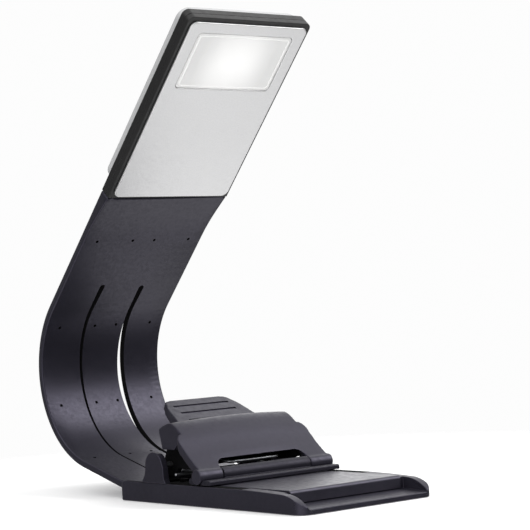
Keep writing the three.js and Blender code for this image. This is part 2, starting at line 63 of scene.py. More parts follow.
JOINTS = {joint["name"]: joint for joint in frame["joints"]}


# ---------- sizes taken from the frame ----------

def box_mm(node):
    low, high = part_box(node)
    return low / MM, high / MM


def joint_mm(name):
    return Vector(JOINTS[name]["pos_m"]) / MM


tray_low, tray_high = box_mm("base_tray")
pad_low, pad_high = box_mm("base_pad")
PIVOT = joint_mm("clip_open")
FOOT_AXIS = joint_mm("foot_level")

# the head's own frame: x across, s up the head, f out of the light face
HEAD_F = Vector(JOINTS["button_press"]["axis"]).normalized()
HEAD_X = Vector((1, 0, 0))
HEAD_S = HEAD_F.cross(HEAD_X)
PLATE_LENGTH = 86.7
PLATE_MIDDLE_F = 0.55
plate_low, plate_high = box_mm("head_plate")
HEAD_ORIGIN = (plate_low + plate_high) / 2 - HEAD_S * PLATE_LENGTH / 2 - HEAD_F * PLATE_MIDDLE_F
HEAD_PLACE = Matrix((
    (HEAD_X.x, HEAD_S.x, HEAD_F.x, HEAD_ORIGIN.x),
    (HEAD_X.y, HEAD_S.y, HEAD_F.y, HEAD_ORIGIN.y),
    (HEAD_X.z, HEAD_S.z, HEAD_F.z, HEAD_ORIGIN.z),
    (0, 0, 0, 1),
))

# the ribbon's centre line, as in the CAD: length and bend in degrees over that length
ARM_PATH = [(18.4, 0), (9.95, 15), (32.2, 0), (82.4, 118), (64.9, 0), (6, 0)]
ARM_ROOT_BACK = 31
ARM_ROOT_Z = 3.5
ARM_HALF_W = 31
ARM_ROOT_HALF_W = 28.5
ARM_TOP_HALF_W = 29
ARM_T = 3
BOW_START = sum(length for length, bend in ARM_PATH[:3])
BOW_END = BOW_START + ARM_PATH[3][0]
HEAD_START = BOW_END + ARM_PATH[4][0]
BOW_HINGES = 7
BOW_PITCH = ARM_PATH[3][0] / BOW_HINGES
TILT_HINGES = (BOW_END + 26, BOW_END + 46)
TILT_REACH = (TILT_HINGES[1] - TILT_HINGES[0]) / 2
ROOT_BEND_START = ARM_PATH[0][0]
FRAME_FOOT = 1.35
SHOULDER = HEAD_START - FRAME_FOOT
COLLAR_LENGTH = 23
COLLAR_RISE = 2.5
SLIT_TO = BOW_END + 12.7
# each slit as (distance, low x, high x): the right one stands open in the bend
SLITS = (
    ((44, -11.35, -10.35), (75, -11.4, -10.4), (105, -11.45, -10.25), (135, -11.6, -9.9),
     (SLIT_TO - 0.5, -11.6, -9.1)),
    ((44, 9.95, 11.75), (75, 9.5, 11.9), (105, 8.4, 12.2), (137, 9.6, 11.9), (SLIT_TO - 2, 9.6, 12.2)),
)
PIN_ROWS = (63, 97, 133, 181)
PIN_X = (-24, -5.65, 5.65, 24)
PIN_R = 0.7
# the part of the ribbon that holds the slits and pinholes, whose walls get painted shade
HOLES_FROM, HOLES_TO, HOLES_HALF_W = 41, 200, 26

# the head, in its own frame
PLATE_HALF_W = 29.5
PLATE_FACE = 1.0
WINDOW_HALF_W = 24
WINDOW_LOW, WINDOW_HIGH = 55.4, 82
LENS_FACE = 0.85
GROOVE_INSET = 1.3
FRAME_HALF_W = 31
FRAME_LOW, FRAME_HIGH = -1.2, 88.6
FRAME_REAR = -5.6
FRAME_SEAM_FRONT, FRAME_SEAM_REAR = -2.5, -2.6
PORT_LOW, PORT_HIGH = 40.9, 48.9
HOUSING_HALF_W = 30
HOUSING_LOW, HOUSING_HIGH = 3.5, 87.3
HOUSING_REAR, HOUSING_FRONT = -9.4, -5.7
HOUSING_WALL = 1.1
BUTTON_S = 45
BUTTON_HOLE_R = 5.7

# the base and the clip: x ranges run from the inner face to the outer one, on either side
EAR_X = (30.5, 33.4)
EAR_R = 5.6
LIP_X = 30
DECK_HALF_W = 28
DECK_NOSE_R = 1.4
POCKET_FLOOR = 1.7
AXLE_R, AXLE_HOLE_R, AXLE_REACH = 1.2, 1.3, 32.6
FOOT_PIN_R, FOOT_PIN_HOLE_R, FOOT_PIN_REACH = 0.8, 0.9, 33
WIRE_R = 0.7
JAW_HALF_W = 33
JAW_WALL = 2.2
HUMP_X = 29.8
FLANGE_X = (31, 33)
FLANGE_DEPTH = 3.2
SKIRT_X = (27.8, 29.8)
JAW_ARM_X = (22.5, 24.5)
KNUCKLE_X = (22.6, 34.2)
KNUCKLE_R = 2.9


# ---------- mesh tools ----------

def arc(cx, cy, r, start, end, steps):
    """Points on a circle from one angle to another, in degrees."""
    points = []
    for i in range(steps + 1):
        a = math.radians(start + (end - start) * i / steps)
        points.append((cx + r * math.cos(a), cy + r * math.sin(a)))
    return points


def circle(cx, cy, r, sides=48):
    return arc(cx, cy, r, 0, 360 * (sides - 1) / sides, sides - 1)


def beside(side, inner, outer):
    """The x range, lowest first, between inner and outer on one side of the lamp."""
    return sorted((inner * side, outer * side))


def rounded(x0, x1, y0, y1, radii, steps=10):
    """A rounded rectangle. radii run low-low, high-low, high-high, low-high."""
    a, b, c, d = radii if isinstance(radii, tuple) else (radii,) * 4
    return (arc(x0 + a, y0 + a, a, 180, 270, steps) + arc(x1 - b, y0 + b, b, 270, 360, steps)
            + arc(x1 - c, y1 - c, c, 0, 90, steps) + arc(x0 + d, y1 - d, d, 90, 180, steps))


def smooth_line(points, per_span=8):
    """A Catmull-Rom curve through 2D points."""
    ends = [points[0]] + list(points) + [points[-1]]
    out = []
    for i in range(len(points) - 1):
        p0, p1, p2, p3 = (Vector(p) for p in ends[i:i + 4])
        for k in range(per_span):
            t = k / per_span
            v = 0.5 * (2 * p1 + (p2 - p0) * t + (2 * p0 - 5 * p1 + 4 * p2 - p3) * t * t
                       + (3 * p1 - p0 - 3 * p2 + p3) * t ** 3)
            out.append((v.x, v.y))
    out.append(tuple(points[-1]))
    return out


def offset_line(points, depth):
    """The same curve moved to its right-hand side by depth."""
    out = []
    for i, (y, z) in enumerate(points):
        before, after = points[max(i - 1, 0)], points[min(i + 1, len(points) - 1)]
        dy, dz = after[0] - before[0], after[1] - before[1]
        n = math.hypot(dy, dz)
        out.append((y + depth * dz / n, z - depth * dy / n))
    return out


def from_bmesh(name, bm, place=None):
    """A mesh object from a bmesh drawn in millimetres."""
    bmesh.ops.recalc_face_normals(bm, faces=bm.faces)
    bm.transform(Matrix.Scale(MM, 4) @ (place or Matrix.Identity(4)))
    mesh = bpy.data.meshes.new(name)
    bm.to_mesh(mesh)
    bm.free()
    obj = bpy.data.objects.new(name, mesh)
    bpy.context.scene.collection.objects.link(obj)
    return obj


def prism(name, outline, low, high, axis="z", slices=1, place=None):
    """An outline swept along x (outline in y, z) or along z (outline in x, y)."""
    bm = bmesh.new()
    rings = []
    for k in range(slices + 1):
        w = low + (high - low) * k / slices
        points = [(w, a, b) if axis == "x" else (a, b, w) for a, b in outline]
        rings.append([bm.verts.new(p) for p in points])
    count = len(outline)
    for first, second in zip(rings, rings[1:]):
        for i in range(count):
            j = (i + 1) % count
            bm.faces.new((first[i], first[j], second[j], second[i]))
    bm.faces.new(rings[0])
    bm.faces.new(rings[-1])
    return from_bmesh(name, bm, place)


def block(name, x0, x1, y0, y1, z0, z1, place=None):
    return prism(name, [(x0, y0), (x1, y0), (x1, y1), (x0, y1)], z0, z1, place=place)


def lathe(name, profile, centre, axis, steps=64, place=None):
    """A closed profile of (radius, distance) turned about an axis through centre."""
    axis = Vector(axis).normalized()
    side = axis.orthogonal().normalized()
    other = axis.cross(side)
    bm = bmesh.new()
    rings = []
    for k in range(steps):
        a = 2 * math.pi * k / steps
        out = side * math.cos(a) + other * math.sin(a)
        rings.append([bm.verts.new(Vector(centre) + out * r + axis * h) for r, h in profile])
    for k in range(steps):
        first, second = rings[k], rings[(k + 1) % steps]
        for i in range(len(profile) - 1):
            bm.faces.new((first[i], first[i + 1], second[i + 1], second[i]))
    bmesh.ops.remove_doubles(bm, verts=bm.verts, dist=1e-4)
    holes = [e for e in bm.edges if e.is_boundary]
    if holes:
        bmesh.ops.holes_fill(bm, edges=holes)
    return from_bmesh(name, bm, place)


def tube(name, points, radius):
    """A round wire through 3D points, with domed ends."""
    sides = 14
    points = [Vector(p) for p in points]
    bm = bmesh.new()
    rings = []
    normal = (points[1] - points[0]).orthogonal().normalized()
    stations = []
    start, end = (points[0] - points[1]).normalized(), (points[-1] - points[-2]).normalized()
    for share, shrink in ((0.9, 0.35), (0.5, 0.8)):
        stations.append((points[0] + start * radius * share * 0.6, shrink))
    stations += [(p, 1.0) for p in points]
    for share, shrink in ((0.5, 0.8), (0.9, 0.35)):
        stations.append((points[-1] + end * radius * share * 0.6, shrink))
    for i, (p, size) in enumerate(stations):
        ahead = stations[min(i + 1, len(stations) - 1)][0] - stations[max(i - 1, 0)][0]
        ahead.normalize()
        normal = (normal - ahead * normal.dot(ahead)).normalized()
        other = ahead.cross(normal)
        ring = []
        for k in range(sides):
            a = 2 * math.pi * k / sides
            ring.append(bm.verts.new(p + (normal * math.cos(a) + other * math.sin(a)) * radius * size))
        rings.append(ring)
    for first, second in zip(rings, rings[1:]):
        for k in range(sides):
            j = (k + 1) % sides
            bm.faces.new((first[k], first[j], second[j], second[k]))
    bm.faces.new(rings[0])
    bm.faces.new(rings[-1])
    obj = from_bmesh(name, bm)
    shade(obj, 50)
    return obj


def bake(obj):
    """Applies an object's modifiers."""
    bpy.context.view_layer.update()
    graph = bpy.context.evaluated_depsgraph_get()
    mesh = bpy.data.meshes.new_from_object(obj.evaluated_get(graph))
    obj.modifiers.clear()
    obj.data = mesh
    return obj


def combine(obj, tool, how):
    """Joins, cuts or intersects obj with tool, which is used up."""
    step = obj.modifiers.new("combine", "BOOLEAN")
    step.operation = how
    step.solver = "EXACT"
    step.object = tool
    bake(obj)
    bpy.data.objects.remove(tool)
    return obj


def cut(obj, *tools):
    for tool in tools:
        combine(obj, tool, "DIFFERENCE")
    return obj


def join(obj, *tools):
    for tool in tools:
        combine(obj, tool, "UNION")
    return obj


def shade(obj, angle=35):
    obj.data.shade_smooth()
    obj.data.set_sharp_from_angle(angle=math.radians(angle))
    return obj


def soften(obj, width, segments=3, angle=35):
    """Rounds every edge sharper than angle, as a mould or a tumbler leaves it."""
    step = obj.modifiers.new("round", "BEVEL")
    step.width = width * MM
    step.segments = segments
    step.limit_method = "ANGLE"
    step.angle_limit = math.radians(angle)
    step.use_clamp_overlap = False
    step.miter_outer = "MITER_ARC"
    bake(obj)
    obj.data.shade_smooth()
    step = obj.modifiers.new("normals", "WEIGHTED_NORMAL")
    step.keep_sharp = True
    step.weight = 60
    return bake(obj)


def moulded(obj, voxel, passes):
    """One even moulded skin over joined solids, with soft inner and outer corners."""
    step = obj.modifiers.new("skin", "REMESH")
    step.mode = "VOXEL"
    step.voxel_size = voxel * MM
    step = obj.modifiers.new("relax", "SMOOTH")
    step.factor = 0.5
    step.iterations = passes
    bake(obj)
    obj.data.shade_smooth()
    return obj


def finish_piece(obj, body, material, slot, *nodes):
    """Gives a piece its material and body and hides the CAD nodes it stands for. The record slot is not
    used.
    """
    obj.data.materials.clear()
    obj.data.materials.append(material)
    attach(obj, body)
    if nodes:
        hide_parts(*nodes)
    return obj


def add_material(obj, material, chosen):
    """Gives the faces for which chosen(centre in mm) is true a second material."""
    obj.data.materials.append(material)
    for face in obj.data.polygons:
        if chosen(face.center / MM):
            face.material_index = 1


# ---------- materials ----------

class Material:
    """A node material with short helpers for the textures used here."""

    def __init__(self, name, colour, roughness, metallic=0.0):
        self.made = bpy.data.materials.new(name)
        self.made.use_nodes = True
        self.nodes = self.made.node_tree.nodes
        self.links = self.made.node_tree.links
        self.shader = self.nodes["Principled BSDF"]
        self.shader.inputs["Base Color"].default_value = (*colour, 1)
        self.shader.inputs["Roughness"].default_value = roughness
        self.shader.inputs["Metallic"].default_value = metallic
        self.bumps = None
        self.place = self.nodes.new("ShaderNodeTexCoord").outputs["Object"]

    def set(self, name, value):
        self.shader.inputs[name].default_value = value
        return self

    def stretched(self, scale, tilt=0.0):
        """Object coordinates turned about x by tilt, then scaled for each axis."""
        turn = self.nodes.new("ShaderNodeMapping")
        turn.vector_type = "POINT"
        turn.inputs["Rotation"].default_value = (tilt, 0, 0)
        self.links.new(self.place, turn.inputs["Vector"])
        size = self.nodes.new("ShaderNodeVectorMath")
        size.operation = "MULTIPLY"
        size.inputs[1].default_value = scale
        self.links.new(turn.outputs["Vector"], size.inputs[0])
        return size.outputs[0]

    def noise(self, scale, detail=2.0, rough=0.5, vector=None):
        node = self.nodes.new("ShaderNodeTexNoise")
        node.inputs["Scale"].default_value = scale
        node.inputs["Detail"].default_value = detail
        node.inputs["Roughness"].default_value = rough
        self.links.new(vector or self.place, node.inputs["Vector"])
        return node.outputs["Fac"]

    def span(self, value, low, high, start=0.3, end=0.7):
        node = self.nodes.new("ShaderNodeMapRange")
        node.inputs["From Min"].default_value = start
        node.inputs["From Max"].default_value = end
        node.inputs["To Min"].default_value = low
        node.inputs["To Max"].default_value = high
        self.links.new(value, node.inputs["Value"])
        return node.outputs["Result"]

    def ramp(self, value, stops):
        node = self.nodes.new("ShaderNodeValToRGB")
        elements = node.color_ramp.elements
        while len(elements) < len(stops):
            elements.new(0.5)
        for element, (place, colour) in zip(elements, stops):
            element.position = place
            element.color = (*colour, 1)
        self.links.new(value, node.inputs["Fac"])
        return node.outputs["Color"]

    def drive(self, name, value):
        self.links.new(value, self.shader.inputs[name])
        return self

    def bump(self, height, strength, distance):
        node = self.nodes.new("ShaderNodeBump")
        node.inputs["Strength"].default_value = strength
        node.inputs["Distance"].default_value = distance * MM
        self.links.new(height, node.inputs["Height"])
        if self.bumps:
            self.links.new(self.bumps, node.inputs["Normal"])
        self.bumps = node.outputs["Normal"]
        self.links.new(self.bumps, self.shader.inputs["Normal"])
        return self


def shades(colour, low, high):
    return [(0.3, tuple(c * low for c in colour)), (0.7, tuple(c * high for c in colour))]


def plastic(name, colour, roughness, grain=2600, bump=0.25, tint=(1, 1, 1)):
    """Moulded plastic: spark-eroded grain, slow tone drift and faint rub marks."""
    m = Material(name, colour, roughness)
    m.drive("Base Color", m.ramp(m.noise(55, 4, 0.6), shades(colour, 0.88, 1.14)))
    m.drive("Roughness", m.span(m.noise(420, 3, 0.6), roughness - 0.07, roughness + 0.07))
    m.bump(m.noise(grain, 2, 0.6), bump, 0.02)
    m.bump(m.noise(120, 3, 0.5), 0.08, 0.04)
    m.set("Specular Tint", (*tint, 1))
    return m.made


def silicone(name, colour, roughness):
    """Smooth silicone: fine matte skin, slight sheen and specks of lint."""
    m = Material(name, colour, roughness)
    tone = m.ramp(m.noise(38, 4, 0.62), shades(colour, 0.9, 1.12))
    m.drive("Base Color", tone)
    m.drive("Roughness", m.span(m.noise(700, 3, 0.55), roughness - 0.06, roughness + 0.08))
    m.bump(m.noise(3200, 2, 0.5), 0.18, 0.015)
    m.bump(m.noise(60, 2, 0.5), 0.1, 0.05)
    m.set("Sheen Weight", 0.08)
    m.set("Sheen Roughness", 0.4)
    m.set("Specular Tint", (*COOL, 1))
    return m.made


def painted_shade(name, colour):
    """Near-black, almost glossless material: painted shade for insides and gaps where little light reaches.
    """
    m = Material(name, colour, 0.9)
    m.drive("Base Color", m.ramp(m.noise(90, 3, 0.6), shades(colour, 0.8, 1.2)))
    m.set("Specular IOR Level", 0.08)
    return m.made


def brushed_aluminium(name, colour, roughness, tilt, metallic=1.0):
    """Anodised aluminium with hairlines along the head."""
    m = Material(name, colour, roughness, metallic)
    across, along = 4200, 60
    lines = m.noise(1, 3, 0.65, m.stretched((across, along, across), tilt))
    m.drive("Base Color", m.ramp(lines, shades(colour, 0.95, 1.04)))
    m.drive("Roughness", m.span(lines, roughness - 0.06, roughness + 0.08))
    m.bump(lines, 0.12, 0.01)
    return m.made


def blasted_aluminium(name, colour, roughness):
    """Bead-blasted, anodised aluminium with a fine sparkle."""
    m = Material(name, colour, roughness, 1.0)
    m.drive("Base Color", m.ramp(m.noise(2600, 2, 0.5), shades(colour, 0.96, 1.03)))
    m.drive("Roughness", m.span(m.noise(1400, 3, 0.6), roughness - 0.05, roughness + 0.06))
    m.bump(m.noise(3800, 2, 0.6), 0.16, 0.012)
    return m.made


def spring_steel(name, colour, roughness):
    """Drawn wire and turned pins, with fine draw lines along x."""
    m = Material(name, colour, roughness, 1.0)
    lines = m.noise(1, 3, 0.6, m.stretched((90, 3200, 3200)))
    m.drive("Base Color", m.ramp(m.noise(300, 3, 0.6), shades(colour, 0.86, 1.08)))
    m.drive("Roughness", m.span(lines, roughness - 0.08, roughness + 0.12))
    m.bump(lines, 0.15, 0.01)
    return m.made


def glowing_window(name):
    """Milky light window: lit where the LEDs are close behind it, fading to plain white."""
    m = Material(name, (0.84, 0.84, 0.835), 0.32)
    glow = None
    for number in range(1, 7):
        low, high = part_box(f"led_{number}")
        gap = m.nodes.new("ShaderNodeVectorMath")
        gap.operation = "DISTANCE"
        gap.inputs[1].default_value = (low + high) / 2
        m.links.new(m.place, gap.inputs[0])
        pool = m.span(gap.outputs["Value"], 1.0, 0.0, 0.001, 0.0135)
        if glow is None:
            glow = pool
        else:
            add = m.nodes.new("ShaderNodeMath")
            add.operation = "ADD"
            m.links.new(glow, add.inputs[0])
            m.links.new(pool, add.inputs[1])
            glow = add.outputs[0]
    m.drive("Emission Strength", m.span(glow, 0.12, 0.42, 0.3, 1.8))
    m.set("Emission Color", (1.0, 0.995, 0.98, 1))
    m.bump(m.noise(1800, 2, 0.5), 0.05, 0.01)
    return m.made


def lit_edge(name):
    """Rim of the light window, where the light inside it comes out."""
    m = Material(name, (0.9, 0.9, 0.89), 0.3)
    m.drive("Emission Strength", m.span(m.noise(240, 2), 0.26, 0.32))
    m.set("Emission Color", (1.0, 0.995, 0.985, 1))
    return m.made


def circuit_board(name, colour):
    """Solder mask with faint copper tracks under it."""
    m = Material(name, colour, 0.35)
    tracks = m.nodes.new("ShaderNodeTexBrick")
    tracks.inputs["Scale"].default_value = 240
    tracks.inputs["Color1"].default_value = (*colour, 1)
    tracks.inputs["Color2"].default_value = (*(c * 0.8 for c in colour), 1)
    tracks.inputs["Mortar"].default_value = (*(min(1, c * 1.6 + 0.02) for c in colour), 1)
    m.links.new(m.place, tracks.inputs["Vector"])
    m.drive("Base Color", tracks.outputs["Color"])
    m.bump(tracks.outputs["Fac"], 0.2, 0.03)
    return m.made


COOL = (0.80, 0.75, 1.0)
HEAD_TILT = -math.atan2(HEAD_S.z, HEAD_S.y)
CHARCOAL = plastic("charcoal plastic", (0.0155, 0.0148, 0.021), 0.42, tint=COOL)
# the base's copy of the charcoal plastic, made darker: painted shade
CHARCOAL_BASE_SHADED = plastic("charcoal base plastic with painted shade", (0.0135, 0.0128, 0.0185), 0.45, tint=COOL)
DECK = plastic("deck plastic", (0.020, 0.019, 0.026), 0.36, 2200, 0.2, COOL)
# the foot's copy of the charcoal plastic, darker and with dimmed gloss: painted shade
FOOT_PLASTIC_SHADED = plastic("foot plastic with painted shade", (0.0105, 0.010, 0.0145), 0.5, tint=(0.45, 0.42, 0.56))
# painted shade: near-black for the tray's pocket, the jaw's hollow and the ribbon's slit and pin walls
PAINTED_SHADE_INSIDE = painted_shade("painted shade inside", (0.004, 0.004, 0.0045))
FRAME = plastic("head frame plastic", (0.0115, 0.0113, 0.0117), 0.42)
RIBBON = silicone("ribbon silicone", (0.0125, 0.0120, 0.0175), 0.37)
RUBBER = silicone("grip rubber", (0.012, 0.012, 0.014), 0.68)
PLATE_ALU = blasted_aluminium("plate aluminium", (0.82, 0.82, 0.825), 0.42)
HOUSING_ALU = brushed_aluminium("housing aluminium", (0.60, 0.605, 0.61), 0.5, HEAD_TILT, metallic=0.25)
BUTTON_METAL = brushed_aluminium("button metal", (0.8, 0.8, 0.81), 0.25, HEAD_TILT)
STEEL = spring_steel("spring steel", (0.38, 0.39, 0.41), 0.34)
# painted shade, not a finish: near-black for the root clamp, its screws and the clamp flange
PAINTED_SHADE_STEEL = painted_shade("steel with painted shade", (0.010, 0.010, 0.011))
WINDOW = glowing_window("light window")
WINDOW_EDGE = lit_edge("light window edge")
WHITE = plastic("white reflector", (0.82, 0.82, 0.8), 0.35)
GREEN = circuit_board("circuit board", (0.02, 0.16, 0.07))
PHOSPHOR = plastic("led phosphor", (0.85, 0.62, 0.12), 0.4)
FOIL = brushed_aluminium("battery foil", (0.5, 0.52, 0.55), 0.35, HEAD_TILT)
BLACK = plastic("black switch plastic", (0.012, 0.012, 0.014), 0.4)


# ---------- ribbon arm ----------

def station(distance):
    """Centre line point (y, z) and heading at a distance along the ribbon."""
    y, z, heading = tray_high.y - ARM_ROOT_BACK, ARM_ROOT_Z, 0.0
    left = distance
    for length, bend in ARM_PATH:
        run = min(left, length) if left > 0 else 0
        turn = math.radians(bend) * run / length
        if abs(turn) > 1e-9:
            r = run / turn
            y += r * (math.sin(heading + turn) - math.sin(heading))
            z += r * (math.cos(heading) - math.cos(heading + turn))
            heading += turn
        else:
            y += run * math.cos(heading)
            z += run * math.sin(heading)
        left -= run
    return y, z, heading


def slit_outline(stations):
    """A long slit as (x, distance), with round ends."""
    low = smooth_line([(d, a) for d, a, b in stations], 8)
    high = smooth_line([(d, b) for d, a, b in stations], 8)
    ends = []
    for (d, a), (_, b), outward in ((low[0], high[0], -1), (low[-1], high[-1], 1)):
        r = (b - a) / 2
        ends.append([((a + b) / 2 + r * math.cos(t), d + outward * r * math.sin(t))
                     for t in (math.pi * k / 8 for k in range(1, 8))])
    first, last = ends
    return [(x, d) for d, x in high] + last + [(x, d) for d, x in reversed(low)] + first[::-1]


def flat_ribbon():
    """The whole ribbon laid flat: x across, y along, z its thickness."""
    right = [(ARM_ROOT_HALF_W, 3), (ARM_ROOT_HALF_W, 15.4), (ARM_HALF_W, 15.4), (ARM_HALF_W, SHOULDER),
             (ARM_TOP_HALF_W, SHOULDER), (ARM_TOP_HALF_W, HEAD_START + 5.4)]
    strip = prism("ribbon", right + [(-x, y) for x, y in reversed(right)], -ARM_T / 2, ARM_T / 2)
    soften(strip, 0.7, 4, 60)
    for stations in SLITS:
        cut(strip, prism("slit", slit_outline(stations), -4, 4))
    for row in PIN_ROWS:
        for x in PIN_X:
            cut(strip, prism("pin", circle(x, row, PIN_R, 16), -4, 4))
    return strip


def collar_lift(distance):
    """How far the ribbon's front face stands up, so that it meets the light face flush."""
    if distance > SHOULDER + 0.01:
        return 0
    t = min(1, max(0, (distance - SHOULDER + COLLAR_LENGTH) / COLLAR_LENGTH))
    return COLLAR_RISE * t * t * (1.6 - 0.6 * t)


def ribbon_breaks():
    """Where the bent ribbon is divided among the bodies: (from, to, bodies)."""
    half = BOW_PITCH / 2
    hinges = [BOW_START + BOW_PITCH * (i + 0.5) for i in range(BOW_HINGES)]
    stretches = [(0, hinges[0] - half, ("base",))]
    for i, hinge in enumerate(hinges):
        first = "base" if i == 0 else f"link_{i}"
        stretches.append((hinge - half, hinge + half, (first, f"link_{i + 1}")))
    near, far = TILT_HINGES
    stretches.append((hinges[-1] + half, near - TILT_REACH, ("link_7",)))
    stretches.append((near - TILT_REACH, near + TILT_REACH, ("link_7", "link_8")))
    stretches.append((far - TILT_REACH, far + TILT_REACH, ("link_8", "head")))
    stretches.append((far + TILT_REACH, HEAD_START + 10, ("head",)))
    return stretches


def slice_lines(breaks):
    """Distances where the flat ribbon is sliced: at each break, and closely where it bends or swells."""
    lines = {round(end, 4) for _, end, _ in breaks[:-1]}
    step = BOW_PITCH / 10
    lines.update(round(BOW_START + k * step, 4) for k in range(1, int((BOW_END - BOW_START) / step)))
    lines.update(ROOT_BEND_START + 0.9 * k for k in range(12))
    lines.update(TILT_HINGES[0] - TILT_REACH + 2 * k for k in range(1, 20))
    lines.update(SHOULDER - COLLAR_LENGTH + COLLAR_LENGTH * k / 15 for k in range(16))
    lines.add(SHOULDER + 0.05)
    return sorted(lines)


def build_ribbon():
    """Slices the flat ribbon, bends it along its centre line and divides it."""
    flat = flat_ribbon()
    bm = bmesh.new()
    bm.from_mesh(flat.data)
    bpy.data.objects.remove(flat)
    bm.transform(Matrix.Scale(1 / MM, 4))
    breaks = ribbon_breaks()
    for d in slice_lines(breaks):
        geometry = bm.verts[:] + bm.edges[:] + bm.faces[:]
        bmesh.ops.bisect_plane(bm, geom=geometry, dist=1e-5, plane_co=(0, d, 0), plane_no=(0, 1, 0))
    bmesh.ops.triangulate(bm, faces=[f for f in bm.faces if len(f.verts) > 4])
    bm.normal_update()
    # walls of the slits and pinholes: they get the near-black painted-shade material
    walls = []
    for face in bm.faces:
        middle = face.calc_center_median()
        inside = abs(middle.x) < HOLES_HALF_W and HOLES_FROM < middle.y < HOLES_TO
        walls.append(abs(face.normal.z) < 0.3 and inside)
    along = {v: v.co.y for v in bm.verts}
    for v in bm.verts:
        y, z, heading = station(v.co.y)
        lift = v.co.z + (collar_lift(v.co.y) if v.co.z > 0.2 else 0)
        v.co = Vector((v.co.x, y - lift * math.sin(heading), z + lift * math.cos(heading)))
    whole = [sum(along[v] for v in f.verts) / len(f.verts) for f in bm.faces]
    ribbon = from_bmesh("ribbon_whole", bm)
    shade(ribbon, 32)
    split_ribbon(ribbon, whole, walls, breaks)
    bpy.data.objects.remove(ribbon)


def split_ribbon(ribbon, face_along, walls, breaks):
    """Divides the bent ribbon into one piece per stretch, keeping its smooth normals."""
    mesh = ribbon.data
    normals = [n.vector.copy() for n in mesh.corner_normals]
    for number, (start, end, bodies) in enumerate(breaks):
        chosen = [p for p in mesh.polygons if start <= face_along[p.index] < end]
        verts, faces, corner = {}, [], []
        for p in chosen:
            faces.append([verts.setdefault(v, len(verts)) for v in p.vertices])
            corner += [normals[i] for i in p.loop_indices]
        piece_mesh = bpy.data.meshes.new(f"ribbon_{number}")
        piece_mesh.from_pydata([mesh.vertices[v].co for v in verts], [], faces)
        piece_mesh.shade_smooth()
        piece_mesh.normals_split_custom_set(corner)
        piece = bpy.data.objects.new(f"ribbon_{number}", piece_mesh)
        bpy.context.scene.collection.objects.link(piece)
        piece_mesh.materials.append(RIBBON)
        # second material: painted shade on the slit and pinhole walls
        piece_mesh.materials.append(PAINTED_SHADE_INSIDE)
        piece_mesh.polygons.foreach_set("material_index", [int(walls[p.index]) for p in chosen])
        if len(bodies) == 1:
            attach(piece, bodies[0])
        else:
            ends = [Vector((0, *station(d)[:2])) * MM for d in (start, end)]
            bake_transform(piece)
        if number == 0:
            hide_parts("arm_root", "arm_core_root")
        elif number == len(breaks) - 1:
            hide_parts("arm_top", "arm_core_top")
        elif number <= BOW_HINGES:
            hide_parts(f"arm_link_{number}", f"arm_core_link_{number}")
        elif number == BOW_HINGES + 2:
            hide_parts("arm_link_8", "arm_core_link_8")


# ---------- head ----------

def window_outline(inset, corner):
    """Outline (x, s) of the light window's opening, drawn in by inset."""
    half = WINDOW_HALF_W - inset
    return rounded(-half, half, WINDOW_LOW + inset, WINDOW_HIGH - inset, corner)


def in_window_groove(at):
    """True on the groove's walls and floor, a little below the window's face."""
    place = at - HEAD_ORIGIN
    inset = GROOVE_INSET - 0.1
    return (0.5 < place.dot(HEAD_F) < LENS_FACE - 0.01 and abs(place.x) < WINDOW_HALF_W - inset
            and WINDOW_LOW + inset < place.dot(HEAD_S) < WINDOW_HIGH - inset)


def build_light_face():
    outline = rounded(-PLATE_HALF_W, PLATE_HALF_W, 0, PLATE_LENGTH, 3)
    plate = prism("plate", outline, 0.1, PLATE_FACE, place=HEAD_PLACE)
    cut(plate, prism("opening", window_outline(0, 2), -1, 3, place=HEAD_PLACE))
    soften(plate, 0.3, 4, 50)
    plate.name = "light_plate"
    finish_piece(plate, "head", PLATE_ALU, "aluminium", "head_plate")
    lens = prism("light_window", window_outline(0.2, 1.8), -0.6, LENS_FACE, place=HEAD_PLACE)
    soften(lens, 0.25, 3, 50)
    groove = prism("groove", window_outline(GROOVE_INSET, 1.4), LENS_FACE - 0.13, 3, place=HEAD_PLACE)
    cut(groove, prism("island", window_outline(GROOVE_INSET + 0.3, 1.2), -1, 4, place=HEAD_PLACE))
    cut(lens, groove)
    shade(lens, 30)
    lens.name = "light_window"
    finish_piece(lens, "head", WINDOW, "diffuser", "window_lens")
    add_material(lens, WINDOW_EDGE, in_window_groove)


def frame_ring(name, rear, front):
    outline = rounded(-FRAME_HALF_W, FRAME_HALF_W, FRAME_LOW, FRAME_HIGH, (0.4, 0.4, 2.8, 2.8))
    ring = prism(name, outline, rear, front, place=HEAD_PLACE)
    opening = rounded(-27.5, 27.5, 3, 83.2, 1.5, 4)
    cut(ring, prism("open", opening, rear - 1, front + 1, place=HEAD_PLACE))
    return ring


def build_head_frames():
    front = frame_ring("frame_front", FRAME_SEAM_FRONT, 0)
    soften(front, 0.22, 3, 40)
    front.name = "frame_front"
    finish_piece(front, "head", FRAME, "charcoal_plastic", "head_frame_front")
    rear = frame_ring("frame_rear", FRAME_REAR, FRAME_SEAM_REAR)
    cut(rear, block("mouth", -29.3, 29.3, -4, 6, -5.9, -2.4, place=HEAD_PLACE))
    port = rounded(PORT_LOW, PORT_HIGH, -5.4, -2.8, 0.6, 4)
    cut(rear, prism("port", port, 22, 40, "x", place=HEAD_PLACE))
    soften(rear, 0.22, 3, 40)
    rear.name = "frame_rear"
    finish_piece(rear, "head", FRAME, "charcoal_plastic", "head_frame_rear")


